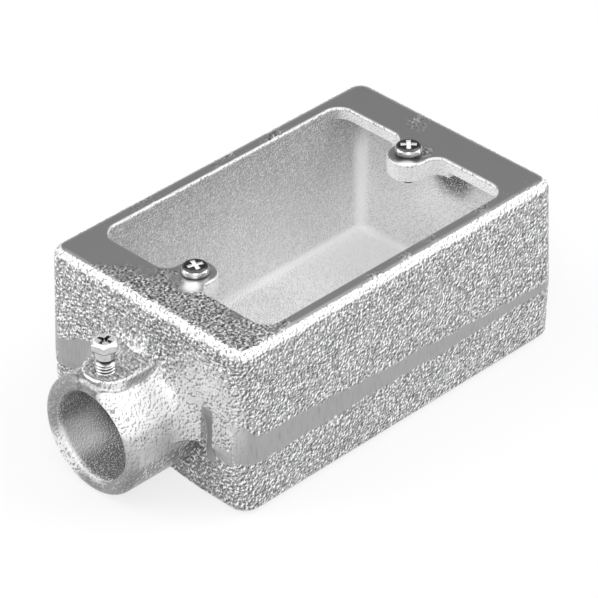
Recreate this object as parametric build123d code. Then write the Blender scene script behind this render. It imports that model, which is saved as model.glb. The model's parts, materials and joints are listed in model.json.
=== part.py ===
"""One-way outlet box: a surface-mounted cast box with one conduit hub, two cover screws and a set screw.

Millimetres. The origin is the centre of the back face, +Z points out of the open front,
and the hub points along -Y.
"""
import os
from math import radians, tan

from build123d import *

# Outside of the casting, sized at the plane where the two mould halves meet
BOX_WIDTH = 79.0
BOX_HEIGHT = 52.4
CORNER_RADIUS = 6.2
DRAFT_DEG = 1.7
FRONT_EDGE_RADIUS = 3.2
BACK_EDGE_RADIUS = 2.2

# Inside of the casting
SIDE_RIM = 5.95
SCREW_FROM_LIP_EDGE = 4.95
FLOOR_THICKNESS = 6.0
END_WALL = 5.7
CHAMBER_CORNER_RADIUS = 4.0
CHAMBER_DRAFT_DEG = 0.8
FLOOR_FILLET = 3.0
LIP_WIDTH = 9.1
LIP_THICKNESS = 3.7
OPENING_CORNER_RADIUS = 5.0
OPENING_EDGE_RADIUS = 0.8

# Screw lugs on the two end lips
SCREW_PITCH = 83.5
LUG_RADIUS = 6.2
LUG_THICKNESS = 5.6
LUG_FLARE_RADIUS = 4.0

# Hub for a plain-ended conduit
HUB_AXIS_HEIGHT = 18.2
HUB_RADIUS = 18.0
HUB_REACH = 20.1
MOUTH_EDGE_RADIUS = 2.0
CONDUIT_RADIUS = 12.7
CONDUIT_CLEARANCE = 0.3
SOCKET_DEPTH = 18.0
BELL_RADIUS = 2.6
THROAT_RADIUS = 11.4
THROAT_ROUNDING = 1.6
ROOT_RADIUS = 7.0
RELIEF_WIDTH = 15.0
RELIEF_DEPTH = 3.0

# Flat pad for the set screw on the front side of the hub
PAD_HALF_WIDTH = 7.5
PAD_HEIGHT_OVER_HUB = 1.3
PAD_EDGE_RADIUS = 0.6
PAD_FROM_MOUTH = 1.1
SET_SCREW_FROM_MOUTH = 7.2

# Grinding wheel cut where the parting flash is cleaned off beside the hub, on the +X side
WHEEL_RADIUS = 16.0
WHEEL_WIDTH = 4.2
WHEEL_CUT_DEPTH = 2.2
WHEEL_OVER_PARTING = 2.2

# Holes in the back for fixing to the wall
FIXING_PITCH = 60.0
FIXING_HOLE_RADIUS = 2.75

# Cover screws, M4 pan head
COVER_THREAD_RADIUS = 2.0
COVER_SCREW_LENGTH = 10.0
COVER_HEAD_RADIUS = 4.0
COVER_HEAD_HEIGHT = 2.5
COVER_HEAD_EDGE = 0.8
COVER_HEAD_CROWN = 0.15
COVER_TOP_RADIUS = 2.6
HUB_END_SEAT_GAP = 0.1
FAR_END_SEAT_GAP = 0.8
HUB_END_SCREW_TURN_DEG = 70.0
FAR_END_SCREW_TURN_DEG = 45.0

# Conduit set screw, M6 with a hexagonal head that breaks off at a groove
SET_THREAD_RADIUS = 2.95
SET_TIP_OVER_CONDUIT = 1.9
SET_GROOVE_OVER_PAD = 2.5
SET_GROOVE_RADIUS = 2.0
SET_GROOVE_HEIGHT = 1.4
SET_COLLAR_RADIUS = 2.75
SET_COLLAR_HEIGHT = 2.9
SET_HEAD_FLATS = 7.0
SET_HEAD_HEIGHT = 2.7
SET_HEAD_TOP_RADIUS = 2.7
SET_HEAD_BEVEL_HEIGHT = 0.8
SET_SCREW_TURN_DEG = 12.0

# Shared fits and small shapes
THREAD_CLEARANCE = 0.05
HOLE_LEAD_IN = 0.4
TIP_CHAMFER = 0.6
RECESS_ARM_WIDTH = 1.3
RECESS_ARM_SPAN = 4.6
RECESS_DEPTH = 1.7
OVERRUN = 1.0

# Places worked out from the sizes
DRAFT_SLOPE = tan(radians(DRAFT_DEG))
FRONT_INSET = (BOX_HEIGHT - HUB_AXIS_HEIGHT) * DRAFT_SLOPE
OPENING_WIDTH = BOX_WIDTH - 2 * (FRONT_INSET + SIDE_RIM)
OPENING_LENGTH = SCREW_PITCH + 2 * SCREW_FROM_LIP_EDGE
CHAMBER_LENGTH = OPENING_LENGTH + 2 * LIP_WIDTH
BOX_LENGTH = CHAMBER_LENGTH + 2 * (END_WALL + FRONT_INSET)
END_FACE = BOX_LENGTH / 2
LIP_UNDERSIDE = BOX_HEIGHT - LIP_THICKNESS
MOUTH = END_FACE + HUB_REACH
SOCKET_RADIUS = CONDUIT_RADIUS + CONDUIT_CLEARANCE
PAD_TOP = HUB_AXIS_HEIGHT + HUB_RADIUS + PAD_HEIGHT_OVER_HUB
SET_SCREW_Y = -(MOUTH - SET_SCREW_FROM_MOUTH)
SET_TIP = HUB_AXIS_HEIGHT + CONDUIT_RADIUS + SET_TIP_OVER_CONDUIT
SET_GROOVE_LOW = PAD_TOP + SET_GROOVE_OVER_PAD


def drafted_half(height):
    """One mould half's block, from the parting plane along +Z, tapering as it goes."""
    section = RectangleRounded(BOX_WIDTH, BOX_LENGTH, CORNER_RADIUS)
    return extrude(section, amount=height, taper=DRAFT_DEG)


def front_half_frame(shape):
    """Places a half drawn from the parting plane up."""
    return Pos(0, 0, HUB_AXIS_HEIGHT) * shape


def back_half_frame(shape):
    """Places a half drawn from the parting plane up, turned over about the hub's axis."""
    return Pos(0, 0, HUB_AXIS_HEIGHT) * Rot(0, 180, 0) * shape


def hub_root():
    """The flare that blends the front half of the hub into the drafted end wall."""
    reach = HUB_RADIUS + ROOT_RADIUS
    block = drafted_half(reach + OVERRUN)
    toward_mouth = Rot(90, 0, 0)
    stub = toward_mouth * extrude(Circle(HUB_RADIUS), amount=END_FACE + ROOT_RADIUS + OVERRUN)
    above = Pos(0, 0, BOX_LENGTH) * Box(2 * BOX_LENGTH, 2 * BOX_LENGTH, 2 * BOX_LENGTH)
    blank = block + (stub & above)
    arcs = blank.edges().filter_by(GeomType.ELLIPSE) + blank.edges().filter_by(GeomType.CIRCLE)
    seam = [e for e in arcs if abs(e.center().Y + END_FACE) < ROOT_RADIUS and e.length > HUB_RADIUS]
    blank = fillet(seam, ROOT_RADIUS)
    ring = Circle(reach) - Circle(HUB_RADIUS / 2)
    window = toward_mouth * extrude(ring, amount=ROOT_RADIUS + END_WALL)
    return blank & (Pos(0, -END_FACE + END_WALL, 0) * window) & above


def wall_relief():
    """The shallow hollow in the end wall round the back half of the hub, deepest against the hub."""
    outer = HUB_RADIUS + RELIEF_WIDTH
    section = Polyline((0, -END_FACE - OVERRUN), (0, -END_FACE + RELIEF_DEPTH),
                       (HUB_RADIUS, -END_FACE + RELIEF_DEPTH), (outer, -END_FACE),
                       (outer, -END_FACE - OVERRUN), close=True)
    dish = revolve(make_face(section), axis=Axis.Y)
    back_half = Pos(0, -END_FACE, -HUB_RADIUS) * Box(3 * outer, 3 * outer, 2 * HUB_RADIUS)
    return Pos(0, 0, HUB_AXIS_HEIGHT) * (dish & back_half)


def casting_outside():
    """The two drafted halves with rounded front and back edges, the hub, its root and its pad."""
    front = drafted_half(BOX_HEIGHT - HUB_AXIS_HEIGHT)
    front = fillet(front.edges().group_by(Axis.Z)[-1], FRONT_EDGE_RADIUS)
    back = drafted_half(HUB_AXIS_HEIGHT)
    back = fillet(back.edges().group_by(Axis.Z)[-1], BACK_EDGE_RADIUS)
    outside = front_half_frame(front) + back_half_frame(back)
    outside -= wall_relief()
    outside += hub_body()
    outside += front_half_frame(hub_root())
    return outside + set_screw_pad()


def hub_body():
    """The round hub with its rounded mouth edge, from inside the end wall out to the mouth."""
    length = HUB_REACH + END_WALL
    hub = extrude(Circle(HUB_RADIUS), amount=length)
    hub = fillet(hub.edges().group_by(Axis.Z)[-1], MOUTH_EDGE_RADIUS)
    return Pos(0, -(MOUTH - length), HUB_AXIS_HEIGHT) * Rot(90, 0, 0) * hub


def set_screw_pad():
    """The flat pad: straight sides from the end wall, with a round front just behind the mouth."""
    nose = -(MOUTH - PAD_FROM_MOUTH - PAD_HALF_WIDTH)
    root = -(END_FACE - END_WALL / 2)
    outline = Pos(0, nose) * Circle(PAD_HALF_WIDTH)
    outline += Pos(0, (nose + root) / 2) * Rectangle(2 * PAD_HALF_WIDTH, root - nose)
    pad = extrude(outline, amount=PAD_TOP - HUB_AXIS_HEIGHT - SOCKET_RADIUS)
    pad = fillet(pad.edges().group_by(Axis.Z)[-1], PAD_EDGE_RADIUS)
    return Pos(0, 0, HUB_AXIS_HEIGHT + SOCKET_RADIUS) * pad


def lug(side):
    """The metal of one lug: a round tab that flares into the lip and runs back to the end wall."""
    lip_edge = OPENING_LENGTH / 2
    centre = SCREW_PITCH / 2
    back = CHAMBER_LENGTH / 2 + OVERRUN
    base = 2 * (LUG_RADIUS + LUG_FLARE_RADIUS + OPENING_EDGE_RADIUS)
    plan = Pos(0, centre) * Circle(LUG_RADIUS)
    plan += Pos(0, (centre + lip_edge) / 2) * Rectangle(2 * LUG_RADIUS, lip_edge - centre)
    plan += Pos(0, (lip_edge + back) / 2) * Rectangle(base, back - lip_edge)
    inner = [v for v in plan.vertices()
             if abs(v.Y - lip_edge) < 0.01 and abs(abs(v.X) - LUG_RADIUS) < 0.01]
    plan = fillet(inner, LUG_FLARE_RADIUS)
    tab = extrude(plan, amount=LUG_THICKNESS + OVERRUN)
    turn = 0 if side > 0 else 180
    return Rot(0, 0, turn) * Pos(0, 0, BOX_HEIGHT - LUG_THICKNESS) * tab


def chamber():
    """The hollow: a drafted chamber with a rounded floor, and the opening between the lips."""
    depth = LIP_UNDERSIDE - FLOOR_THICKNESS
    section = RectangleRounded(OPENING_WIDTH, CHAMBER_LENGTH, CHAMBER_CORNER_RADIUS)
    room = extrude(section, amount=depth, taper=CHAMBER_DRAFT_DEG)
    room = fillet(room.edges().group_by(Axis.Z)[-1], FLOOR_FILLET)
    room = Pos(0, 0, LIP_UNDERSIDE) * Rot(0, 180, 0) * room
    gap = RectangleRounded(OPENING_WIDTH, OPENING_LENGTH, OPENING_CORNER_RADIUS)
    opening = Pos(0, 0, LIP_UNDERSIDE) * extrude(gap, amount=LIP_THICKNESS + OVERRUN)
    return room + opening - lug(1) - lug(-1)


def conduit_way():
    """The belled socket, its stop shoulder and the throat with a rounded inner end."""
    chamber_end = CHAMBER_LENGTH / 2
    stop = MOUTH - SOCKET_DEPTH
    inner_end = chamber_end - OVERRUN
    bell_end = MOUTH - BELL_RADIUS
    bell_rim = SOCKET_RADIUS + BELL_RADIUS
    with BuildPart() as way:
        with BuildSketch(Plane.XY):
            with BuildLine():
                Polyline((0, MOUTH + OVERRUN), (bell_rim, MOUTH + OVERRUN), (bell_rim, MOUTH))
                TangentArc((bell_rim, MOUTH), (SOCKET_RADIUS, bell_end), tangent=(-1, 0))
                Polyline((SOCKET_RADIUS, bell_end), (SOCKET_RADIUS, stop), (THROAT_RADIUS, stop),
                         (THROAT_RADIUS, chamber_end + THROAT_ROUNDING))
                RadiusArc((THROAT_RADIUS, chamber_end + THROAT_ROUNDING),
                          (THROAT_RADIUS + THROAT_ROUNDING, chamber_end), -THROAT_ROUNDING)
                Polyline((THROAT_RADIUS + THROAT_ROUNDING, chamber_end),
                         (THROAT_RADIUS + THROAT_ROUNDING, inner_end), (0, inner_end),
                         (0, MOUTH + OVERRUN))
            make_face()
        revolve(axis=Axis.Y)
    return Pos(0, 0, HUB_AXIS_HEIGHT) * Rot(0, 0, 180) * way.part


def tapped_hole(radius, top, bottom):
    """A round hole along Z with a short lead-in at its top."""
    depth = top - bottom
    hole = Pos(0, 0, bottom + depth / 2) * Cylinder(radius, depth)
    lead = Cone(radius, radius + HOLE_LEAD_IN, HOLE_LEAD_IN)
    return hole + Pos(0, 0, top - HOLE_LEAD_IN / 2) * lead


def cast_box():
    """The whole casting."""
    body = casting_outside() - chamber()
    front_face = body.faces().sort_by(Axis.Z)[-1]
    mouth_wire = max(front_face.inner_wires(), key=lambda w: w.length)
    body = fillet(mouth_wire.edges(), OPENING_EDGE_RADIUS)
    body -= conduit_way()
    for side in (-1, 1):
        lug_hole = tapped_hole(COVER_THREAD_RADIUS + THREAD_CLEARANCE, BOX_HEIGHT,
                               BOX_HEIGHT - LUG_THICKNESS - OVERRUN)
        body -= Pos(0, side * SCREW_PITCH / 2, 0) * lug_hole
        fixing = Cylinder(FIXING_HOLE_RADIUS, 2 * (FLOOR_THICKNESS + OVERRUN))
        body -= Pos(0, side * FIXING_PITCH / 2, 0) * fixing
    wheel = Rot(0, 90, 0) * Cylinder(WHEEL_RADIUS, WHEEL_WIDTH)
    wheel_y = -(END_FACE + WHEEL_RADIUS - WHEEL_CUT_DEPTH)
    body -= Pos(HUB_RADIUS + ROOT_RADIUS, wheel_y, HUB_AXIS_HEIGHT + WHEEL_OVER_PARTING) * wheel
    set_hole = tapped_hole(SET_THREAD_RADIUS + THREAD_CLEARANCE, PAD_TOP, HUB_AXIS_HEIGHT)
    return body - Pos(0, SET_SCREW_Y, 0) * set_hole


def cross_recess(top):
    """A cross-shaped driver recess whose arms narrow as they go down."""
    arm = Rectangle(RECESS_ARM_SPAN, RECESS_ARM_WIDTH)
    plan = arm + Rot(0, 0, 90) * arm
    tool = extrude(plan, amount=-RECESS_DEPTH, taper=12)
    cap = extrude(plan, amount=OVERRUN)
    return Pos(0, 0, top) * (tool + cap)


def cover_screw():
    """M4 pan-head screw with its head's underside at the origin, pointing down."""
    edge_top = COVER_HEAD_EDGE
    shoulder = COVER_HEAD_HEIGHT - COVER_HEAD_CROWN
    with BuildPart() as screw:
        with BuildSketch(Plane.XZ):
            with BuildLine():
                Polyline((0, COVER_HEAD_HEIGHT), (0, -COVER_SCREW_LENGTH),
                         (COVER_THREAD_RADIUS - TIP_CHAMFER, -COVER_SCREW_LENGTH),
                         (COVER_THREAD_RADIUS, TIP_CHAMFER - COVER_SCREW_LENGTH),
                         (COVER_THREAD_RADIUS, 0), (COVER_HEAD_RADIUS, 0), (COVER_HEAD_RADIUS, edge_top))
                TangentArc((COVER_HEAD_RADIUS, edge_top), (COVER_TOP_RADIUS, shoulder), tangent=(0, 1))
                Line((COVER_TOP_RADIUS, shoulder), (0, COVER_HEAD_HEIGHT))
            make_face()
        revolve(axis=Axis.Z)
    return screw.part - cross_recess(COVER_HEAD_HEIGHT)


def set_screw():
    """M6 set screw in place along Z, with its tip just over the conduit and its head above the pad."""
    groove_mid = SET_GROOVE_LOW + SET_GROOVE_HEIGHT / 2
    groove_high = SET_GROOVE_LOW + SET_GROOVE_HEIGHT
    head_seat = groove_high + SET_COLLAR_HEIGHT
    head_top = head_seat + SET_HEAD_HEIGHT
    bevel_start = head_top - SET_HEAD_BEVEL_HEIGHT
    corner = SET_HEAD_FLATS / 3 ** 0.5
    shank_profile = Polyline((0, SET_TIP), (SET_THREAD_RADIUS - TIP_CHAMFER, SET_TIP),
                             (SET_THREAD_RADIUS, SET_TIP + TIP_CHAMFER), (SET_THREAD_RADIUS, SET_GROOVE_LOW),
                             (SET_GROOVE_RADIUS, groove_mid), (SET_COLLAR_RADIUS, groove_high),
                             (SET_COLLAR_RADIUS, bevel_start), (0, bevel_start), close=True)
    shank = revolve(Plane.XZ * make_face(shank_profile), axis=Axis.Z)
    head = Pos(0, 0, head_seat) * extrude(RegularPolygon(corner, 6), amount=SET_HEAD_HEIGHT)
    bevel_profile = Polyline((0, head_seat), (corner, head_seat), (corner, bevel_start),
                             (SET_HEAD_TOP_RADIUS, head_top), (0, head_top), close=True)
    head &= revolve(Plane.XZ * make_face(bevel_profile), axis=Axis.Z)
    return shank + head - cross_recess(head_top)


def main():
    seat = SCREW_PITCH / 2
    hub_end_screw = Rot(0, 0, HUB_END_SCREW_TURN_DEG) * cover_screw()
    far_end_screw = Rot(0, 0, FAR_END_SCREW_TURN_DEG) * cover_screw()
    nodes = {
        "cast_box": cast_box(),
        "hub_end_cover_screw": Pos(0, -seat, BOX_HEIGHT + HUB_END_SEAT_GAP) * hub_end_screw,
        "far_end_cover_screw": Pos(0, seat, BOX_HEIGHT + FAR_END_SEAT_GAP) * far_end_screw,
        "conduit_set_screw": Pos(0, SET_SCREW_Y, 0) * Rot(0, 0, SET_SCREW_TURN_DEG) * set_screw(),
    }
    os.makedirs("parts", exist_ok=True)
    for name, shape in nodes.items():
        export_step(shape, f"parts/{name}.step")


if __name__ == "__main__":
    main()
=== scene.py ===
"""One-way outlet box: the plated cast skin, the threaded screws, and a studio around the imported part."""

import json
import math
from functools import reduce

import bpy
import numpy as np
from mathutils import Matrix, Vector


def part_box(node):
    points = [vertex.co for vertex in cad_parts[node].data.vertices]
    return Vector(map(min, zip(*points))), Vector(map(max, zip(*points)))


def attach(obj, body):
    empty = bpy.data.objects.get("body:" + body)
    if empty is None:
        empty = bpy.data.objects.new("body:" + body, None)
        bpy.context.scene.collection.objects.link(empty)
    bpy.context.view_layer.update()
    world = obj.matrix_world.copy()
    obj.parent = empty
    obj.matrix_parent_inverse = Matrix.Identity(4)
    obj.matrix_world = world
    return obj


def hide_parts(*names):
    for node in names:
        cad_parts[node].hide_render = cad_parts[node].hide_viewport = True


bl_info = {
    "name": "One-way outlet box",
    "version": (1, 0, 0),
    "blender": (4, 5, 0),
    "location": "View3D > Sidebar > Outlet box",
    "description": "Finishes for a cast conduit outlet box, its screws, and a studio to see it in",
    "category": "Object",
}

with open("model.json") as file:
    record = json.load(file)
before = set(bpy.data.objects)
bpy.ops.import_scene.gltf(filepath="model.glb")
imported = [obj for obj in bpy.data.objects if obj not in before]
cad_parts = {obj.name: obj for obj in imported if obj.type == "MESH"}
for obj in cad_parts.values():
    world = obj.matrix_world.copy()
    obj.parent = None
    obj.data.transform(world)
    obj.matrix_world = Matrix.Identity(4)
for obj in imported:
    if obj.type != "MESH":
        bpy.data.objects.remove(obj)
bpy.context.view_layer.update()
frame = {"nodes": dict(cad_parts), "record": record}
MM = 0.001
MOUNTS = {mount["name"]: mount for mount in frame["record"]["mounts"]}
BODY_OF = {node: body for body, nodes in frame["record"]["behaviour"]["bodies"].items() for node in nodes}


def node_box(name):
    """Lowest and highest corner of a CAD node in millimetres."""
    low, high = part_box(name)
    return np.array(low) / MM, np.array(high) / MM


# places on the casting, in millimetres
CASTING_LOW, CASTING_HIGH = node_box("cast_box")
HALF_WIDTH, FAR_END_Y, RIM_HEIGHT = CASTING_HIGH
MOUTH_Y = CASTING_LOW[1]
HUB_END_Y = -FAR_END_Y
PARTING_HEIGHT = MOUNTS["conduit_socket"]["pos_m"][2] / MM
SOCKET_RADIUS = MOUNTS["conduit_socket"]["dims"]["r_mm"]
SET_SCREW_Y = float(np.mean(node_box("conduit_set_screw"), axis=0)[1])
PAD_HEIGHT = 37.5
PAD_HALF_WIDTH = 7.5
CHAMBER_FLOOR = 7.0

# the screws, in millimetres; a recess has its half span, the half width of an arm and its depth
SCREW_TURNS = {"hub_end_cover_screw": math.radians(70), "far_end_cover_screw": math.radians(45)}
PAN_HEAD_HEIGHT, PAN_HEAD_EDGE, CROWN_SAG = 2.45, 0.8, 0.15
COVER_SHANK, COVER_THREAD_DEPTH = 2.0, 0.4
SET_SCREW_TURN = math.radians(12)
SET_HEAD_FLATS, SET_HEAD_HEIGHT = 7.0, 2.7
SET_SHANK, SET_THREAD_DEPTH = 2.95, 0.55
CROSS_RECESS = (2.3, 0.62, 1.7)
NEAR_AXIS = 0.001

# how far the zones of the casting smooth the pebbles, how strongly a painted highlight whitens them, and the
# painted shade in the bore and the darkening of the ring
SMOOTHED = {"Hub": 0.35, "Mouth": 0.8, "Edge": 0.35, "LitPatches": 0.6}
PAINTED_HIGHLIGHTS = {"Edge": 0.7, "LitPatches": 0.85}
BORE_SHADE_LEFT, BORE_SHADE_RIGHT, RING_DARKENING = 0.87, 0.97, 0.36

# the greys and the shares of the painted shade, the painted highlight and the tarnish on the screws' steel
SHADE_GREY, HIGHLIGHT_GREY, TARNISH_SHADE = 0.03, 0.95, 0.6
SHADE_SHARE, TARNISH_SHARE = 0.92, 0.4

# the studio, in metres: directions point away from the part, and colours are greys
LAMP_TARGET = (0, 0, 0.02)
CAMERA_TARGET = Vector((0, 0, 0.022))
CAMERA_SHIFT = (-1.66 * MM, 0.71 * MM)
CARD_DIRECTION = Vector((-0.585, 0.578, 0.60))
CARD_ACROSS = Vector((0.70, 0.71, 0.0))
FLOOR_GREY, CARD_GREY = 0.8, 0.12
FLOOR_WHITE_SHARE = 0.75
AIR_LIGHT = 0.35
SENSOR_WIDTH = 36.0


class CastingFinish(bpy.types.PropertyGroup):
    """Sizes and colours of the cast skin."""
    plating: bpy.props.FloatVectorProperty(
        name="Plating", description="Colour of the dull metal plating", subtype="COLOR", size=3,
        default=(0.36, 0.36, 0.363), min=0, max=1)
    # this dark colour is real dirt in blotches, streaks and seams, and also painted shade on the grain, in
    # the bore, under the far lip and in creases
    stain_and_shade: bpy.props.FloatVectorProperty(
        name="Stain_and_shade", description="Colour in the hollows of the skin", subtype="COLOR", size=3,
        default=(0.10, 0.10, 0.102), min=0, max=1)
    # painted highlight: this near white whitens the grain's sides turned to the light, the rounded edges, the
    # lit patches, the roundings and far floor in the chamber, and the lugs in front of their screws
    bare: bpy.props.FloatVectorProperty(
        name="Highlight", description="Colour of the rubbed crests and edges", subtype="COLOR", size=3,
        default=(0.95, 0.95, 0.95), min=0, max=1)
    rim: bpy.props.FloatVectorProperty(
        name="Rim", description="Colour of the duller front rim", subtype="COLOR", size=3,
        default=(0.42, 0.42, 0.425), min=0, max=1)
    # painted light: this pale colour of the chamber and the bore stands in for the light inside them
    core: bpy.props.FloatVectorProperty(
        name="Core_light", description="Colour of the paler plating inside", subtype="COLOR", size=3,
        default=(0.87, 0.87, 0.87), min=0, max=1)
    ground: bpy.props.FloatVectorProperty(
        name="Ground", description="Colour where the flash is ground off", subtype="COLOR", size=3,
        default=(0.34, 0.34, 0.343), min=0, max=1)
    pebble_size: bpy.props.FloatProperty(
        name="Pebble size", description="Width of one pebble of the outer skin, in millimetres", default=0.85)
    pebble_depth: bpy.props.FloatProperty(
        name="Pebble depth", description="Height of the pebbles", default=0.26 * MM, unit="LENGTH")
    inner_size: bpy.props.FloatProperty(
        name="Inner grain size", description="Width of the grain left by the sand core, in millimetres",
        default=0.45)
    inner_depth: bpy.props.FloatProperty(
        name="Inner grain depth", description="Height of the core's grain", default=0.07 * MM, unit="LENGTH")


class ScrewFinish(bpy.types.PropertyGroup):
    """Sizes and colours of the screws."""
    steel: bpy.props.FloatVectorProperty(
        name="Steel", description="Colour of the bright plated steel", subtype="COLOR", size=3,
        default=(0.62, 0.62, 0.63), min=0, max=1)
    cover_pitch: bpy.props.FloatProperty(
        name="Cover screw pitch", description="Thread pitch of the cover screws, in millimetres", default=0.7)
    set_pitch: bpy.props.FloatProperty(
        name="Set screw pitch", description="Thread pitch of the set screw, in millimetres", default=1.0)


class Studio(bpy.types.PropertyGroup):
    """Camera and lamps."""
    azimuth: bpy.props.FloatProperty(
        name="Azimuth", description="Direction of the camera round the part", subtype="ANGLE",
        default=math.radians(45.36))
    elevation: bpy.props.FloatProperty(
        name="Elevation", description="Height of the camera over the floor as an angle", subtype="ANGLE",
        default=math.radians(34.72))
    roll: bpy.props.FloatProperty(
        name="Roll", description="Turn of the camera about its own axis", subtype="ANGLE",
        default=math.radians(-0.47))
    distance: bpy.props.FloatProperty(
        name="Distance", description="Distance from the camera to its target", unit="LENGTH", default=1.1278)
    lens: bpy.props.FloatProperty(
        name="Lens", description="Focal length in millimetres for a 36 mm frame", default=241.1)
    overhead: bpy.props.FloatProperty(
        name="Overhead lamp", description="Power of the large lamp over the part", unit="POWER", default=13.5)
    low: bpy.props.FloatProperty(
        name="Low lamps", unit="POWER", default=1.2,
        description="Power of the two small lamps just over the floor, which glint on the pebbles")
    fill: bpy.props.FloatProperty(
        name="Fill lamp", description="Power of the lamp beside the camera, which reaches into the box",
        unit="POWER", default=8.0)
    back: bpy.props.FloatProperty(
        name="Back lamp", description="Power of the lamp behind, which shines on the hub", unit="POWER",
        default=4.5)
    right: bpy.props.FloatProperty(
        name="Right lamp", description="Power of the lamp on the right", unit="POWER", default=11.5)
    left_share: bpy.props.FloatProperty(
        name="Left share", description="Power of the lamp on the left over that of the right one",
        default=1.55)


def thread_radius(height, angle, crest, depth, pitch, start, end):
    """Crest radius less the thread's depth times a rounded triangle wave of height over pitch less angle over
    a full turn; the groove fades in over half a pitch at both ends."""
    phase = (height / pitch - angle / (2 * np.pi)) % 1.0
    wave = np.clip(1.25 * np.abs(2 * phase - 1) - 0.125, 0, 1)
    fade = np.clip((height - start) / (0.5 * pitch), 0, 1) * np.clip((end - height) / (0.5 * pitch), 0, 1)
    return crest - depth * wave * fade


def cross_depth(x, y, half_span, half_width, depth):
    """Depth of a cross recess under a point: the steep distance in from the nearer arm's edge, capped by a
    floor that rises from the middle to the ends of the arms."""
    inside_x = np.minimum(half_width - np.abs(y), (half_span - np.abs(x)) * 0.8)
    inside_y = np.minimum(half_width - np.abs(x), (half_span - np.abs(y)) * 0.8)
    inside = np.maximum(np.maximum(inside_x, inside_y), 0)
    floor = depth * (1 - 0.45 * np.hypot(x, y) / half_span)
    return np.minimum(4.0 * inside, floor)


def profile_rows(corners, steps):
    """Rows of radius and height along straight pieces between corners, with the given steps on each piece."""
    corners = np.array(corners, float)
    pieces = [corners[i] + np.linspace(0, 1, n, endpoint=False)[:, None] * (corners[i + 1] - corners[i])
              for i, n in enumerate(steps)]
    return np.concatenate(pieces + [corners[-1:]])


def turned_grid(rows, columns):
    """Radius, height and angle over a turned shape: its rows of radius and height, each at every angle."""
    angles = np.linspace(0, 2 * np.pi, columns + 1)[:-1]
    radius = np.repeat(rows[:, :1], columns, axis=1)
    height = np.repeat(rows[:, 1:], columns, axis=1)
    return radius, height, np.broadcast_to(angles, radius.shape)


def turned_points(radius, height, angle):
    """Points from their radius, height and angle about the upright axis."""
    return np.stack([radius * np.cos(angle), radius * np.sin(angle), height], -1)


def pan_head_rows(radius, height, edge):
    """Rows over a pan head from its middle out: a flat crown, then a quarter ellipse down to the edge."""
    crown = 0.62 * radius
    turn = np.linspace(0, np.pi / 2, 15)[1:]
    flat = np.stack([np.linspace(NEAR_AXIS, crown, 70), np.full(70, height)], 1)
    flat[:, 1] -= CROWN_SAG * (flat[:, 0] / crown) ** 2
    shoulder = height - CROWN_SAG
    side = np.stack([crown + (radius - crown) * np.sin(turn), edge + (shoulder - edge) * np.cos(turn)], 1)
    return np.concatenate([flat, side])


def cover_screw_points(size, pitch, turn):
    """Grid of a pan-head screw with its tip at height 0 (head, underside, threaded shank and chamfered tip),
    and the shares of painted shade and of painted highlight at its points."""
    radius, seat = size[0] / 2, size[2] - PAN_HEAD_HEIGHT
    shank = COVER_SHANK
    head = pan_head_rows(radius, PAN_HEAD_HEIGHT, PAN_HEAD_EDGE)
    head[:, 1] += seat
    rest = profile_rows([(radius, seat + 0.15), (radius - 0.15, seat), (shank, seat), (shank, seat - 0.5),
                         (shank, 0.5), (shank - 0.5, 0.0), (NEAR_AXIS, 0.0)], [3, 8, 4, 200, 4, 6])
    r, z, a = turned_grid(np.concatenate([head, rest]), 96)
    sunk = np.where(z > seat + 1.5, cross_depth(r * np.cos(a), r * np.sin(a), *CROSS_RECESS), 0)
    z = z - sunk
    threaded = (z < seat - 0.4) & (r > shank - 0.01)
    thread = thread_radius(z, a, shank, COVER_THREAD_DEPTH, pitch, 0.2, seat - 0.3)
    cut = np.where(threaded, shank - thread, 0)
    r = r - cut
    # painted shade: a dark reflection painted on the crown, shade in the thread's grooves and under the
    # head's rim; a painted highlight in the cross recess
    low_skirt = np.clip(1.6 - (z - seat) / 0.6, 0, 1) * (r > shank + 0.05) * (z > seat - 0.01)
    crown = (z > seat + 1.75) & (sunk < 0.05)
    painted_shade = np.clip(1.0 * crown + cut * 2.5 + low_skirt, 0, 1)
    return turned_points(r, z, a + turn), {"painted_shade": painted_shade, "bare": np.clip(sunk * 1.5, 0, 1)}


def hexagon_radius(angles, flats):
    """Radius of a hexagon at an angle: half its flats over the cosine of the angle from the nearest flat."""
    from_flat = (angles % (np.pi / 3)) - np.pi / 6
    return flats / 2 / np.cos(from_flat)


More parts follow.
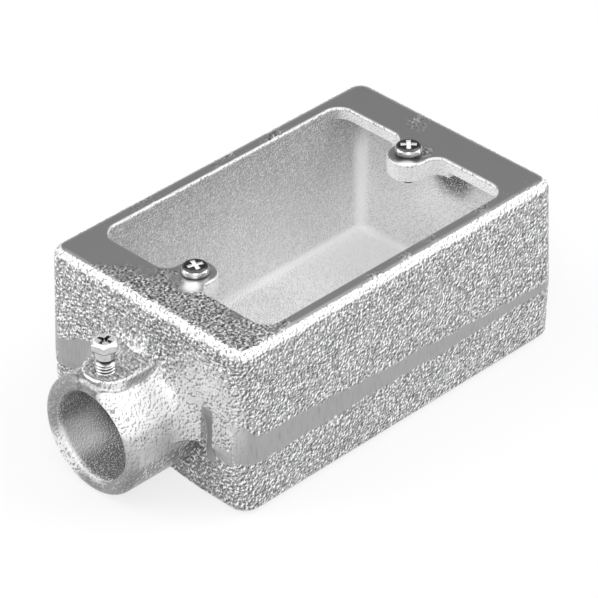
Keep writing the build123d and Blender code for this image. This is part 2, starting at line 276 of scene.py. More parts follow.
def set_screw_points(total, pitch):
    """Grid of the set screw with its tip at height 0 (a bevelled hexagon with a cross recess, a collar, the
    break-off groove, the thread and the chamfered tip), and the shares of painted shade and of painted
    highlight."""
    corner = SET_HEAD_FLATS / math.sqrt(3)
    seat, bevel = total - SET_HEAD_HEIGHT, total - 0.8
    groove_low, groove_high = seat - 4.3, seat - 2.9
    thread, collar, groove, top = SET_SHANK, 2.75, 2.0, 2.7
    rows = profile_rows([(NEAR_AXIS, total), (top, total), (corner, bevel), (corner, seat + 0.25),
                         (corner - 0.2, seat), (collar, seat), (collar, groove_high + 0.15),
                         (collar - 0.15, groove_high), (groove, groove_low + 0.75),
                         (groove, groove_low + 0.6), (thread, groove_low), (thread, 0.6),
                         (thread - 0.6, 0.0), (NEAR_AXIS, 0.0)], [60, 14, 8, 3, 6, 6, 3, 5, 2, 5, 120, 4, 8])
    r, z, a = turned_grid(rows, 120)
    in_head = z > seat - 0.001
    r = np.where(in_head & (r > collar), np.minimum(r, hexagon_radius(a, SET_HEAD_FLATS)), r)
    x, y = r * np.cos(a), r * np.sin(a)
    sunk = np.where(z > total - 0.01, cross_depth(x, y, *CROSS_RECESS), 0)
    z = z - sunk
    threaded = (z < groove_low) & (z > 0.3) & (r > thread - 0.01)
    threads = thread_radius(z, a, thread, SET_THREAD_DEPTH, pitch, 0.3, groove_low)
    cut = np.where(threaded, thread - threads, 0)
    r = r - cut
    # painted shade in the recess's arms, in the thread's grooves, under the head and in the break-off groove;
    # a painted highlight on the head's top
    under_head = np.clip(1 - np.abs(z - seat) / 0.35, 0, 1)
    in_groove = np.clip((collar - r) / 0.5, 0, 1) * (z > groove_low) * (z < groove_high)
    arms = sunk * 3 * (np.hypot(x, y) > 0.8)
    painted_shade = np.clip(arms + cut * 2 + under_head + in_groove, 0, 1)
    shares = {"painted_shade": painted_shade, "bare": 0.55 * (z + sunk > total - 0.3) * (1 - painted_shade)}
    return turned_points(r, z, a + SET_SCREW_TURN), shares


def surface_object(name, points, shares, material, sharp_angle=math.radians(32)):
    """A mesh from a grid of points in millimetres, closed round its second direction, with a point at each
    end of the first, and for each named share its value at each point."""
    rows, columns = points.shape[:2]
    ends = points[[0, -1]].mean(axis=1)
    vertices = np.concatenate([points.reshape(-1, 3), ends]) * MM
    i, j = np.meshgrid(np.arange(rows - 1), np.arange(columns), indexing="ij")
    following = (j + 1) % columns
    quads = np.stack([i * columns + j, (i + 1) * columns + j, (i + 1) * columns + following,
                      i * columns + following], -1).reshape(-1, 4)
    around = np.arange(columns)
    after = (around + 1) % columns
    last = (rows - 1) * columns
    first_fan = np.stack([np.full(columns, rows * columns), around, after], 1)
    last_fan = np.stack([np.full(columns, rows * columns + 1), last + after, last + around], 1)
    mesh = bpy.data.meshes.new(name)
    mesh.from_pydata(vertices.tolist(), [], quads.tolist() + first_fan.tolist() + last_fan.tolist())
    mesh.polygons.foreach_set("use_smooth", np.ones(len(mesh.polygons), bool))
    mesh.set_sharp_from_angle(angle=sharp_angle)
    for share, values in shares.items():
        every = np.concatenate([values.ravel(), values[[0, -1]].mean(axis=1)])
        mesh.attributes.new(share, "FLOAT", "POINT").data.foreach_set("value", every.astype(np.float32))
    mesh.materials.append(material)
    piece = bpy.data.objects.new(name, mesh)
    bpy.context.scene.collection.objects.link(piece)
    return piece


def opaque(colour):
    """A colour, or a grey, with full alpha."""
    return (*colour, 1) if hasattr(colour, "__len__") else (colour, colour, colour, 1)


class NodeMaker:
    """Adds nodes to one tree, alone or in small patterns. Masks are values from 0 to 1."""

    def __init__(self, tree):
        self.tree = tree

    def add(self, kind, inputs=None, **values):
        """Adds a node, sets its values and joins its inputs."""
        node = self.tree.nodes.new(kind)
        for name, value in values.items():
            setattr(node, name, value)
        for key, value in (inputs or {}).items():
            if isinstance(value, bpy.types.NodeSocket):
                self.tree.links.new(value, node.inputs[key])
            else:
                node.inputs[key].default_value = value
        return node

    def calc(self, operation, first, second=0.0, third=0.0, clamp=False):
        """The result of one Math node."""
        inputs = {0: first, 1: second, 2: third}
        return self.add("ShaderNodeMath", inputs, operation=operation, use_clamp=clamp).outputs[0]

    def product(self, *factors):
        """Sockets or numbers multiplied together, one Math node for each after the first."""
        return reduce(lambda done, factor: self.calc("MULTIPLY", done, factor), factors)

    def largest(self, *values):
        """The largest of sockets or numbers."""
        return reduce(lambda done, value: self.calc("MAXIMUM", done, value), values)

    def without(self, share):
        """One less a share."""
        return self.calc("SUBTRACT", 1.0, share)

    def distance(self, first, first_at, second, second_at):
        """Distance from a place in the plane of two coordinates."""
        apart = [self.calc("SUBTRACT", value, at) for value, at in ((first, first_at), (second, second_at))]
        squares = [self.calc("MULTIPLY", value, value) for value in apart]
        return self.calc("SQRT", self.calc("ADD", *squares))

    def ramp(self, value, low, high, start=0.0, end=1.0):
        """A smooth step from start to end while the value goes from low to high, or down to high."""
        inputs = {"Value": value, "From Min": low, "From Max": high, "To Min": start, "To Max": end}
        return self.add("ShaderNodeMapRange", inputs, interpolation_type="SMOOTHSTEP").outputs[0]

    def between(self, value, low, high, soft):
        """A mask of the values between two limits, with soft steps at both."""
        rise = self.ramp(self.calc("SUBTRACT", value, low), -soft, soft)
        fall = self.ramp(self.calc("SUBTRACT", high, value), -soft, soft)
        return self.product(rise, fall)

    def spot(self, first, first_at, second, second_at, outer, inner):
        """A mask of a round spot that fades between its inner and its outer radius."""
        return self.ramp(self.distance(first, first_at, second, second_at), outer, inner)

    def noise(self, place, scale, detail, roughness=0.5):
        """A noise field from 0 to 1 at a place."""
        inputs = {"Vector": place, "Scale": scale, "Detail": detail, "Roughness": roughness}
        return self.add("ShaderNodeTexNoise", inputs).outputs["Fac"]

    def scaled(self, place, factor):
        """A place times a number."""
        return self.add("ShaderNodeVectorMath", {0: place, "Scale": factor}, operation="SCALE").outputs[0]

    def stretched(self, place, factors):
        """A place with each coordinate times its own number."""
        return self.add("ShaderNodeMapping", {"Vector": place, "Scale": factors}).outputs[0]

    def parts(self, place):
        """The three coordinates of a place."""
        return self.add("ShaderNodeSeparateXYZ", {0: place}).outputs

    def object_millimetres(self):
        """The place on the object, in millimetres."""
        return self.scaled(self.add("ShaderNodeTexCoord").outputs["Object"], 1 / MM)

    def tinted(self, share, under, over):
        """A share of one colour over another."""
        return self.add("ShaderNodeMix", {"Factor": share, 6: under, 7: over}, data_type="RGBA").outputs[2]

    def finish(self, colour, metal, rough, bump):
        """The material's surface."""
        shader = self.add("ShaderNodeBsdfPrincipled", {
            "Base Color": colour, "Metallic": metal, "Roughness": rough, "Normal": bump.outputs[0]})
        self.add("ShaderNodeOutputMaterial", {"Surface": shader.outputs[0]})

    def seen_directly(self):
        """One for rays from the camera and for those that are mirrored or go through glass."""
        path = self.add("ShaderNodeLightPath").outputs
        return self.largest(path["Is Camera Ray"], path["Is Glossy Ray"], path["Is Transmission Ray"])


def new_group(name, inputs, outputs):
    """An empty shader node group with named input sockets of given kinds and named number outputs."""
    group = bpy.data.node_groups.new(name, "ShaderNodeTree")
    for socket, kind in inputs.items():
        group.interface.new_socket(socket, in_out="INPUT", socket_type="NodeSocket" + kind)
    for socket in outputs:
        group.interface.new_socket(socket, in_out="OUTPUT", socket_type="NodeSocketFloat")
    return group, NodeMaker(group)


def new_material(name):
    """A material with an empty tree, and the maker of its nodes."""
    material = bpy.data.materials.new(name)
    material.use_nodes = True
    material.node_tree.nodes.clear()
    return material, NodeMaker(material.node_tree)


def cast_grain_group():
    """Grain of a cast skin from a noise field and the same field a third of a grain away: the height is the
    field, where it falls away from the light it gets painted shade, and where it rises toward it a painted
    highlight."""
    group, make = new_group("cast_grain", {"Position": "Vector", "Size": "Float"},
                            ("Height", "Shaded_side", "Crest"))
    given = make.add("NodeGroupInput").outputs
    scaled = make.scaled(given["Position"], make.calc("DIVIDE", 1.0, given["Size"]))
    beside = make.add("ShaderNodeVectorMath", {0: scaled, 1: (0.22, 0.22, -0.26)}).outputs[0]
    here, there = make.noise(scaled, 1.0, 1.0), make.noise(beside, 1.0, 1.0)
    slope = make.calc("SUBTRACT", here, there)
    make.add("NodeGroupOutput", {"Height": here, "Shaded_side": make.ramp(slope, -0.02, -0.15),
                                 "Crest": make.ramp(slope, 0.03, 0.16)})
    return group


def cored_places(make, x, y, z):
    """Masks of the chamber and of the bore, which sand cores left."""
    chamber = make.product(make.ramp(make.calc("ABSOLUTE", x), HALF_WIDTH - 5.4, HALF_WIDTH - 6.2),
                           make.ramp(make.calc("ABSOLUTE", y), FAR_END_Y - 4.0, FAR_END_Y - 5.2),
                           make.ramp(z, RIM_HEIGHT - 0.5, RIM_HEIGHT - 1.0), make.ramp(z, 2.0, 4.0))
    from_axis = make.distance(x, 0.0, z, PARTING_HEIGHT)
    bore = make.product(make.ramp(from_axis, SOCKET_RADIUS + 0.9, SOCKET_RADIUS + 0.3),
                        make.ramp(y, HUB_END_Y + 8.0, HUB_END_Y + 7.0))
    return chamber, bore


def ground_walls(make, x, y, ragged, on_hub_end):
    """Mask of the ragged bands along the parting line where the flash is ground off the walls."""
    # on the long sides the band narrows toward the far end, and it is widest at the hub-end corners
    corner_rise = make.ramp(y, HUB_END_Y + 6.0, HUB_END_Y + 1.0, 0.0, 3.5)
    side_high = make.calc("ADD", make.calc("MULTIPLY_ADD", y, -0.052, PARTING_HEIGHT + 4.2), corner_rise)
    side_band = make.between(ragged, PARTING_HEIGHT - 1.4, side_high, 0.5)
    on_side = make.ramp(make.calc("ABSOLUTE", x), HALF_WIDTH - 5.5, HALF_WIDTH - 3.5)
    # beside the hub only low patches are ground, higher on the left, and the far end has a narrow band
    left_high = make.ramp(x, -HALF_WIDTH + 3.0, -HALF_WIDTH + 18.0,
                          PARTING_HEIGHT + 5.5, PARTING_HEIGHT + 10.5)
    left_patch = make.product(make.between(ragged, PARTING_HEIGHT - 2.8, left_high, 0.5),
                              make.ramp(x, -18.0, -20.0), on_hub_end)
    right_patch = make.product(make.between(ragged, PARTING_HEIGHT - 3.0, PARTING_HEIGHT + 1.5, 0.4),
                               make.ramp(x, 27.0, 28.0), on_hub_end)
    far_band = make.product(make.between(ragged, PARTING_HEIGHT - 1.2, PARTING_HEIGHT + 1.6, 0.4),
                            make.ramp(y, FAR_END_Y - 4.0, FAR_END_Y - 3.0))
    patches = make.product(make.largest(left_patch, right_patch), make.without(on_side))
    return make.largest(make.product(side_band, on_side), patches, far_band)


def ground_hub(make, x, y, ragged, on_hub):
    """Mask of the ground band on the hub, which runs along its side and stops before the end wall."""
    return make.product(make.between(ragged, PARTING_HEIGHT - 2.6, PARTING_HEIGHT + 3.6, 0.35), on_hub,
                        make.ramp(x, 0.0, 2.0), make.ramp(y, MOUTH_Y + 1.0, MOUTH_Y + 2.5))


def wheel_cut_place(make, x, y, z):
    """Mask of the single cut of a grinding wheel beside the hub."""
    return make.product(make.between(x, 23.0, 27.2, 0.2),
                        make.between(y, HUB_END_Y + 0.15, HUB_END_Y + 3.0, 0.1),
                        make.between(z, PARTING_HEIGHT - 6.5, PARTING_HEIGHT + 12.0, 0.5))


def painted_light_places(make, x, y, z, hub, mouth, on_hub_end, hub_band):
    """Mask of painted light: painted highlights on the hub's upper right below the pad for the set screw, on
    the pad's edge and on a crescent of the ring, and painted light on the wall beside the hub and on a little
    of the hub's ground band."""
    hub_glow = make.product(make.ramp(x, 1.0, 7.0), make.ramp(z, PARTING_HEIGHT + 4.0, PARTING_HEIGHT + 9.0),
                            make.ramp(y, HUB_END_Y + 1.0, HUB_END_Y - 5.0),
                            make.ramp(z, PAD_HEIGHT - 0.3, PAD_HEIGHT - 1.0))
    pad_edge = make.product(make.between(z, PAD_HEIGHT - 0.7, PAD_HEIGHT - 0.05, 0.08), hub)
    ring_glow = make.product(make.spot(x, -10.5, z, PARTING_HEIGHT - 11.0, 10.0, 4.0), mouth, 0.85)
    wall_glow = make.product(make.spot(x, 24.0, z, PARTING_HEIGHT + 13.0, 20.0, 6.0), on_hub_end, 0.6)
    return make.largest(hub_glow, pad_edge, ring_glow, wall_glow, make.product(hub_band, 0.35))


def painted_shadow_places(make, x, y, ragged, chamber):
    """Mask of painted shadow under the far lip, beside the lug and in the left far corner."""
    under_lug = make.product(make.spot(x, 4.0, ragged, RIM_HEIGHT - 11.0, 11.0, 4.0),
                             make.ramp(y, FAR_END_Y - 14.0, FAR_END_Y - 8.0))
    in_corner = make.product(make.spot(x, -HALF_WIDTH + 6.0, y, FAR_END_Y - 6.0, 12.0, 3.0),
                             make.ramp(ragged, RIM_HEIGHT - 11.0, RIM_HEIGHT - 4.0))
    return make.product(make.largest(under_lug, in_corner), chamber)


def painted_light_insides(make, x, y, z, chamber):
    """Mask of painted highlights on the roundings in the chamber's left far corner and along its floor, and
    of painted light on the far half of the floor itself."""
    up_corner = make.spot(x, -HALF_WIDTH + 7.0, y, FAR_END_Y - 6.7, 4.5, 1.2)
    low_corner = make.product(make.ramp(z, CHAMBER_FLOOR + 1.6, CHAMBER_FLOOR + 0.2),
                              make.ramp(y, -20.0, 40.0))
    off_floor = make.largest(make.ramp(make.calc("ABSOLUTE", x), HALF_WIDTH - 9.5, HALF_WIDTH - 8.5),
                             make.ramp(make.calc("ABSOLUTE", y), FAR_END_Y - 9.5, FAR_END_Y - 8.5))
    roundings = make.product(make.largest(up_corner, low_corner), off_floor,
                             make.ramp(z, RIM_HEIGHT - 10.0, RIM_HEIGHT - 20.0))
    far_floor = make.product(make.ramp(y, 15.0, 52.0), make.ramp(z, CHAMBER_FLOOR + 2.0, CHAMBER_FLOOR), 0.75)
    return make.product(make.largest(roundings, far_floor), chamber)


def seams_and_painted_shade(make, x, y, z, chamber, hub, on_hub_end):
    """Mask of dark places: the parting line on the ring's left and the core's line low on the chamber's left
    wall, and painted shade at the foot of the wall beside the wheel's cut and in the strip along the foot of
    the pad."""
    parting = make.product(make.between(z, PARTING_HEIGHT - 0.05, PARTING_HEIGHT + 0.12, 0.06),
                           make.ramp(x, -8.0, -9.0), make.ramp(y, MOUTH_Y + 7.5, MOUTH_Y + 6.5))
    core_line = make.product(make.between(z, 20.9, 21.1, 0.08), chamber, make.ramp(y, 10.0, 30.0),
                             make.ramp(x, -HALF_WIDTH + 8.0, -HALF_WIDTH + 7.0), 0.5)
    # painted shade low on the wall beside the hub
    wall_foot = make.product(make.spot(x, 18.0, z, 9.0, 8.0, 3.0), on_hub_end, 0.45)
    # painted shade at the pad's foot lies at one distance round its middle line, which ends at the set screw
    past_screw = make.calc("MINIMUM", make.calc("SUBTRACT", y, SET_SCREW_Y), 0.0)
    from_pad = make.distance(x, 0.0, past_screw, 0.0)
    pad_foot = make.product(make.between(from_pad, PAD_HALF_WIDTH - 0.1, PAD_HALF_WIDTH + 0.6, 0.15),
                            make.between(z, PAD_HEIGHT - 6.0, PAD_HEIGHT - 0.8, 0.2), hub, 0.75)
    return make.largest(parting, core_line, wall_foot, pad_foot)


def casting_zones_group():
    """Masks of the casting's zones from a position in millimetres. Each limit is where a soft step begins or
    ends, in millimetres from a face, the rim or the parting line, or from the origin."""
    outputs = ("Chamber", "Bore", "Rim", "Ground", "Edge", "Shadow", "Hub", "Mouth", "LitPatches", "Groin", "ScrewGlint",
               "Bright", "Seam")
    group, make = new_group("casting_zones", {"Position": "Vector"}, outputs)
    place = make.add("NodeGroupInput").outputs["Position"]
    x, y, z = make.parts(place)
    uneven = make.calc("SUBTRACT", make.noise(place, 0.14, 4.0, 0.65), 0.5)
    ragged = make.calc("MULTIPLY_ADD", uneven, 3.0, z)
    chamber, bore = cored_places(make, x, y, z)
    outside = make.without(make.largest(chamber, bore))
    rim = make.ramp(z, RIM_HEIGHT - 0.35, RIM_HEIGHT - 0.08)
    # the rounded front edges, which a painted highlight whitens, at half strength on the hub's end
    edge = make.product(make.ramp(z, RIM_HEIGHT - 2.1, RIM_HEIGHT - 1.7), outside, make.without(rim),
                        make.ramp(y, HUB_END_Y + 1.5, HUB_END_Y + 3.0, 0.5, 1.0))
    hub = make.ramp(y, HUB_END_Y - 0.5, HUB_END_Y - 3.0)
    mouth = make.ramp(y, MOUTH_Y + 2.6, MOUTH_Y + 1.6)
    on_hub_end = make.ramp(y, HUB_END_Y + 3.5, HUB_END_Y + 2.0)
    on_hub = make.ramp(y, HUB_END_Y - 3.0, HUB_END_Y - 4.5)
    wall_bands = make.product(ground_walls(make, x, y, ragged, on_hub_end), make.without(on_hub))
    hub_band = ground_hub(make, x, y, ragged, on_hub)
    wheel_cut = wheel_cut_place(make, x, y, z)
    lit = painted_light_places(make, x, y, z, hub, mouth, on_hub_end, hub_band)
    # a painted highlight lies on the lugs in front of their screws, and painted light lies low on the bore's
    # left
    screw_glint = make.product(rim, make.largest(make.spot(x, 4.5, y, -47.5, 4.0, 1.0),
                                          make.spot(x, 3.6, y, 37.4, 3.2, 1.2)))
    bright = make.product(make.spot(x, -10.5, z, PARTING_HEIGHT - 7.7, 8.0, 2.0), bore,
                          make.ramp(y, MOUTH_Y + 17.0, MOUTH_Y + 8.0))
    make.add("NodeGroupOutput", {
        "Chamber": chamber, "Bore": bore, "Rim": rim, "Edge": edge, "Hub": hub, "Mouth": mouth,
        "Ground": make.product(make.largest(wall_bands, hub_band, wheel_cut), outside),
        "LitPatches": make.product(lit, make.without(wheel_cut)),
        "Shadow": painted_shadow_places(make, x, y, ragged, chamber), "Groin": painted_light_insides(make, x, y, z, chamber),
        "ScrewGlint": screw_glint, "Bright": bright, "Seam": seams_and_painted_shade(make, x, y, z, chamber, hub, on_hub_end)})
    return group


def casting_material(finish, grain, zones):
    """Dull plated cast iron: pebbled outside, finer inside, smooth where the flash is ground off."""
    material, make = new_material("plated_cast_skin")
    place = make.object_millimetres()
    x, y, z = make.parts(place)
    pebbles, core = (make.add("ShaderNodeGroup", node_tree=grain) for _ in range(2))
    zone_node = make.add("ShaderNodeGroup", node_tree=zones)
    for node in (pebbles, core, zone_node):
        make.tree.links.new(place, node.inputs["Position"])
    pebbles.inputs["Size"].default_value = finish.pebble_size
    core.inputs["Size"].default_value = finish.inner_size
    pebbles, core, zone = pebbles.outputs, core.outputs, zone_node.outputs
    cored = make.largest(zone["Chamber"], zone["Bore"])
    patch = make.noise(place, 0.07, 3.0)
    # the rim is pebbled only in patches, most of all at the corner near the camera
    near_corner = make.product(make.ramp(x, -15.0, 15.0), make.ramp(y, -35.0, -52.0))
    rim_patch = make.calc("MULTIPLY_ADD", near_corner, 0.26, patch)
    worn_rim = make.product(zone["Rim"], make.ramp(rim_patch, 0.68, 0.52))
    smoothed = make.largest(*(make.product(zone[name], share) for name, share in SMOOTHED.items()))
    pebbled = make.product(make.without(cored), make.without(make.largest(zone["Ground"], worn_rim)),
                           make.without(smoothed))
    height = make.calc("ADD", make.product(core["Height"], cored, finish.inner_depth),
                       make.product(pebbles["Height"], pebbled, finish.pebble_depth))
    bump = make.add("ShaderNodeBump", {"Strength": 1.0, "Distance": 1.0, "Height": height})
    # painted shade is thickest on the right of the bore and painted shadow lies under the far lip, the ring
    # is darkened by a share, and the chamber darkens upward on its left and toward the hub on its floor
    bore_shade = make.product(zone["Bore"], make.ramp(x, 0.0, 8.0, BORE_SHADE_LEFT, BORE_SHADE_RIGHT))
    shade_and_darkening = make.largest(zone["Shadow"], make.product(zone["Mouth"], RING_DARKENING),
                        make.calc("MULTIPLY_ADD", zone["Bright"], -0.62, bore_shade))
    to_left = make.ramp(x, -HALF_WIDTH + 10.0, -HALF_WIDTH + 7.0, 0.02, 0.72)
    upward = make.product(zone["Chamber"], make.calc("DIVIDE", z, RIM_HEIGHT), to_left)
    near_floor = make.product(make.ramp(z, CHAMBER_FLOOR + 2.0, CHAMBER_FLOOR),
                              make.ramp(y, 25.0, 5.0, 0.0, 0.18), zone["Chamber"])
    colour = make.tinted(zone["Rim"], opaque(finish.plating), opaque(finish.rim))
    # the chamber and the bore take the pale core colour, which is painted light
    colour = make.tinted(cored, colour, opaque(finish.core))
    colour = make.tinted(make.largest(shade_and_darkening, upward, near_floor), colour, opaque(finish.stain_and_shade))
    ground = make.product(zone["Ground"], make.calc("MULTIPLY_ADD", zone["Hub"], -0.25, 0.95))
    colour = make.tinted(ground, colour, opaque(finish.ground))
    # painted shade lies on the grain's sides turned from the light and in creases, the seams are dark, and
    # dirt lies in blotches and in the upright streaks of the ground places
    streaks = make.noise(make.stretched(place, (2.2, 2.2, 0.25)), 1.0, 2.0)
    streaked = make.product(make.calc("SUBTRACT", 0.5, streaks), 1.2, zone["Ground"])
    blotch = make.product(make.calc("SUBTRACT", patch, 0.5), 0.35)
    core_grain_shade = make.product(core["Shaded_side"], make.largest(cored, zone["Mouth"]), 0.4)
    shade_and_seams = make.largest(make.product(pebbles["Shaded_side"], pebbled), zone["Seam"], core_grain_shade)
    dirt_and_shade = make.calc("ADD", shade_and_seams, make.calc("ADD", blotch, streaked), clamp=True)
    colour = make.tinted(dirt_and_shade, colour, opaque(finish.stain_and_shade))
    # painted highlights whiten the grain's sides turned to the light, the rounded edges and lit patches, the
    # chamber's roundings and far floor, and the lugs in front of their screws
    crest = make.product(pebbles["Crest"], pebbled, make.calc("MULTIPLY_ADD", zone["Rim"], -0.3, 1.0))
    core_crest = make.product(core["Crest"], cored, 0.7)
    highlighted = make.largest(*(make.product(zone[name], share) for name, share in PAINTED_HIGHLIGHTS.items()))
    highlighted = make.product(highlighted, make.without(make.product(pebbles["Shaded_side"], 0.9)), make.without(zone["Seam"]))
    bare = make.largest(crest, core_crest, highlighted, make.product(zone["Groin"], 0.8), zone["ScrewGlint"])
    colour = make.tinted(bare, colour, opaque(finish.bare))
    rough = make.calc("MULTIPLY_ADD", cored, 0.22, 0.32)
    metal = make.calc("SUBTRACT", make.calc("MULTIPLY_ADD", zone["Rim"], 0.35, 0.5),
                      make.product(zone["Chamber"], 0.4))
    metal = make.calc("MULTIPLY_ADD", bare, -0.5, metal, clamp=True)
    make.finish(colour, metal, rough, bump)
    return material


def steel_material(name, colour):
    """Bright plated steel with fine turning marks, a little tarnish, painted shade and painted highlights."""
    material, make = new_material(name)
    place = make.object_millimetres()
    tone = make.ramp(make.noise(place, 0.9, 3.0), 0.3, 0.75)
    scratches = make.noise(make.stretched(place, (0.6, 0.6, 9.0)), 2.0, 3.0)
    tarnish = tuple(channel * TARNISH_SHADE for channel in colour)
    tint = make.tinted(make.product(tone, TARNISH_SHARE), opaque(colour), opaque(tarnish))
    painted_shade = make.add("ShaderNodeAttribute", attribute_name="painted_shade").outputs["Fac"]
    tint = make.tinted(make.product(painted_shade, SHADE_SHARE), tint, opaque(SHADE_GREY))
    bare = make.add("ShaderNodeAttribute", attribute_name="bare").outputs["Fac"]
    tint = make.tinted(bare, tint, opaque(HIGHLIGHT_GREY))
    metal = make.calc("MULTIPLY_ADD", bare, -0.9, 1.0)
    rough = make.calc("ADD", make.calc("MULTIPLY_ADD", tone, 0.14, 0.16), make.product(painted_shade, 0.1))
    bump = make.add("ShaderNodeBump", {"Strength": 0.5, "Distance": 0.02 * MM, "Height": scratches})
    make.finish(tint, metal, rough, bump)
    return material


def matt_material(name, grey, white_share=0.0):
    """A matt surface, with a share of plain white over it for the camera and for reflections."""
    material, make = new_material(name)
    surface = make.add("ShaderNodeBsdfDiffuse", {"Color": opaque(grey)}).outputs[0]
    if white_share:
        white = make.add("ShaderNodeEmission", {"Color": opaque(1), "Strength": 1.0}).outputs[0]
        share = make.product(make.seen_directly(), white_share)
        surface = make.add("ShaderNodeMixShader", {0: share, 1: surface, 2: white}).outputs[0]
    make.add("ShaderNodeOutputMaterial", {"Surface": surface})
    return material


def white_world():
    """White air all round, which lights dull surfaces with a part of its strength only."""
    world = bpy.data.worlds.new("studio_air")
    world.use_nodes = True
    world.node_tree.nodes.clear()
    make = NodeMaker(world.node_tree)
    strength = make.calc("MULTIPLY_ADD", make.seen_directly(), 1 - AIR_LIGHT, AIR_LIGHT)
    air = make.add("ShaderNodeBackground", {"Color": opaque(1), "Strength": strength}).outputs[0]
    make.add("ShaderNodeOutputWorld", {"Surface": air})
    return world


def add_lamp(name, place, power, size):
    """A square lamp that faces the part and isn't seen by the camera."""
    lamp = bpy.data.lights.new(name, "AREA")
    lamp.energy = power
    lamp.size = size
    holder = bpy.data.objects.new(name, lamp)
    bpy.context.scene.collection.objects.link(holder)
    holder.location = place
    holder.rotation_euler = (Vector(LAMP_TARGET) - Vector(place)).to_track_quat("-Z", "Y").to_euler()
    holder.visible_camera = False


def flat_panel(name, centre, across, along, material, shown=True):
    """A rectangle from its centre and half sides. One that isn't shown is seen in reflections only."""
    u, v = np.meshgrid([-1.0, 1.0], [-1.0, 1.0])
    points = np.array(centre) + u.reshape(-1, 1) * np.array(across) + v.reshape(-1, 1) * np.array(along)
    mesh = bpy.data.meshes.new(name)
    mesh.from_pydata(points.tolist(), [], [(0, 1, 3, 2)])
    mesh.materials.append(material)
    panel = bpy.data.objects.new(name, mesh)
    bpy.context.scene.collection.objects.link(panel)
    if not shown:
        panel.visible_camera = False
        panel.visible_shadow = False


def camera_axes(studio):
    """Right, up and back vectors of the camera from its azimuth, elevation and roll."""
    azimuth, elevation, roll = studio.azimuth, studio.elevation, studio.roll
    back = Vector((math.sin(azimuth) * math.cos(elevation), -math.cos(azimuth) * math.cos(elevation),
                   math.sin(elevation)))
    right = Vector((math.cos(azimuth), math.sin(azimuth), 0.0))
    up = back.cross(right)
    turned_right = right * math.cos(roll) + up * math.sin(roll)
    turned_up = up * math.cos(roll) - right * math.sin(roll)
    return turned_right, turned_up, back


def add_camera(studio):
    """The camera that sees the part as the photograph does."""
    right, up, back = camera_axes(studio)
    camera = bpy.data.cameras.new("camera")
    camera.lens = studio.lens
    camera.sensor_width = SENSOR_WIDTH
    camera.clip_start = 0.01
    holder = bpy.data.objects.new("camera", camera)
    bpy.context.scene.collection.objects.link(holder)
    place = CAMERA_TARGET + right * CAMERA_SHIFT[0] + up * CAMERA_SHIFT[1] + back * studio.distance
    holder.matrix_world = Matrix.Translation(place) @ Matrix((right, up, back)).transposed().to_4x4()
    return holder


def screw_piece(name, points, shares, steel):
    """The modelled screw at the place of its CAD node."""
    low, high = node_box(name)
    points += np.array([(low[0] + high[0]) / 2, (low[1] + high[1]) / 2, low[2]])
    screw = surface_object(name + "_threaded", points, shares, steel)
    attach(screw, BODY_OF[name])
    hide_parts(name)
    return screw


class OUTLETBOX_OT_casting(bpy.types.Operator):
    """Gives the casting its plated skin"""
    bl_idname = "outletbox.casting"
    bl_label = "Finish the casting"

    def execute(self, context):
        finish = context.scene.outletbox_casting
        material = casting_material(finish, cast_grain_group(), casting_zones_group())
        casting = frame["nodes"]["cast_box"]
        casting.data.materials.clear()
        casting.data.materials.append(material)
        return {"FINISHED"}


class OUTLETBOX_OT_cover_screws(bpy.types.Operator):
    """Makes the two pan-head cover screws with their threads and cross recesses"""
    bl_idname = "outletbox.cover_screws"
    bl_label = "Make the cover screws"

    def execute(self, context):
        finish = context.scene.outletbox_screws
        steel = steel_material("cover_screw_steel", tuple(finish.steel))
        for name, turn in SCREW_TURNS.items():
            low, high = node_box(name)
            points, shares = cover_screw_points(high - low, finish.cover_pitch, turn)
            screw = screw_piece(name, points, shares, steel)
        return {"FINISHED"}


class OUTLETBOX_OT_set_screw(bpy.types.Operator):
    """Makes the conduit set screw with its hexagon, break-off groove and thread"""
    bl_idname = "outletbox.set_screw"
    bl_label = "Make the set screw"

    def execute(self, context):
        finish = context.scene.outletbox_screws
        steel = steel_material("set_screw_steel", tuple(finish.steel))
        low, high = node_box("conduit_set_screw")
        points, shares = set_screw_points(high[2] - low[2], finish.set_pitch)
        screw = screw_piece("conduit_set_screw", points, shares, steel)
        return {"FINISHED"}


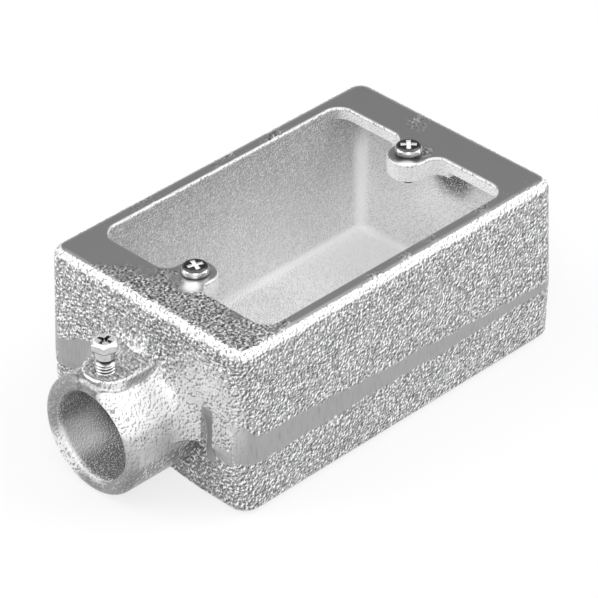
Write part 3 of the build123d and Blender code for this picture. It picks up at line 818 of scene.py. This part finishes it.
class OUTLETBOX_OT_stage(bpy.types.Operator):
    """Sets the floor, the lamps, the surroundings and the camera"""
    bl_idname = "outletbox.stage"
    bl_label = "Set the studio"

    def execute(self, context):
        scene = context.scene
        studio = scene.outletbox_studio
        # the floor is nearly white, but shadows still show on it
        floor = matt_material("pale_floor", FLOOR_GREY, FLOOR_WHITE_SHARE)
        flat_panel("floor", (0, 0, -0.0001), (6, 0, 0), (0, 6, 0), floor)
        # the front rim mirrors the dark card
        dark = matt_material("dark_card", CARD_GREY)
        away = CARD_DIRECTION.normalized()
        flat_panel("dark_card", away * 2.6, CARD_ACROSS * 1.6, away.cross(CARD_ACROSS).normalized() * 0.85,
                   dark, shown=False)
        # low dark flags under the side lamps give the pebbles their dark sides
        for name, side in (("left", -1), ("right", 1)):
            flat_panel(name + "_flag", (side * 1.1, side * 1.1, 0.2), (0.9, -0.9, 0), (0, 0, 0.2), dark,
                       shown=False)
            add_lamp(name + "_low_lamp", (side * 0.85, side * 0.85, 0.11), studio.low, 0.2)
        add_lamp("overhead_lamp", (0.0, 0.0, 1.5), studio.overhead, 2.0)
        add_lamp("fill_lamp", (0.95, -0.95, 0.95), studio.fill, 0.6)
        add_lamp("back_lamp", (0.35, 1.0, 1.35), studio.back, 0.8)
        add_lamp("left_lamp", (-1.1, -1.1, 1.0), studio.right * studio.left_share, 1.5)
        add_lamp("right_lamp", (1.1, 1.1, 1.0), studio.right, 1.5)
        scene.world = white_world()
        scene.camera = add_camera(studio)
        scene.view_settings.view_transform = "Standard"
        return {"FINISHED"}


class OUTLETBOX_PT_panel(bpy.types.Panel):
    """Lists the steps that dress the outlet box"""
    bl_label = "Outlet box"
    bl_idname = "OUTLETBOX_PT_panel"
    bl_space_type = "VIEW_3D"
    bl_region_type = "UI"
    bl_category = "Outlet box"

    def draw(self, context):
        for operator in OPERATORS:
            self.layout.operator(operator.bl_idname)
        for group in PROPERTY_GROUPS:
            properties = getattr(context.scene, group)
            for name in properties.bl_rna.properties.keys():
                if name not in ("rna_type", "name"):
                    self.layout.prop(properties, name)


PROPERTY_GROUPS = {"outletbox_casting": CastingFinish, "outletbox_screws": ScrewFinish,
                   "outletbox_studio": Studio}
OPERATORS = (OUTLETBOX_OT_casting, OUTLETBOX_OT_cover_screws, OUTLETBOX_OT_set_screw, OUTLETBOX_OT_stage)


def register():
    for name, group in PROPERTY_GROUPS.items():
        bpy.utils.register_class(group)
        setattr(bpy.types.Scene, name, bpy.props.PointerProperty(type=group))
    for operator in OPERATORS:
        bpy.utils.register_class(operator)
    bpy.utils.register_class(OUTLETBOX_PT_panel)


def unregister():
    bpy.utils.unregister_class(OUTLETBOX_PT_panel)
    for operator in reversed(OPERATORS):
        bpy.utils.unregister_class(operator)
    for name, group in PROPERTY_GROUPS.items():
        delattr(bpy.types.Scene, name)
        bpy.utils.unregister_class(group)


def main():
    register()
    bpy.ops.outletbox.casting()
    bpy.ops.outletbox.cover_screws()
    bpy.ops.outletbox.set_screw()
    bpy.ops.outletbox.stage()


if __name__ == "__main__":
    main()
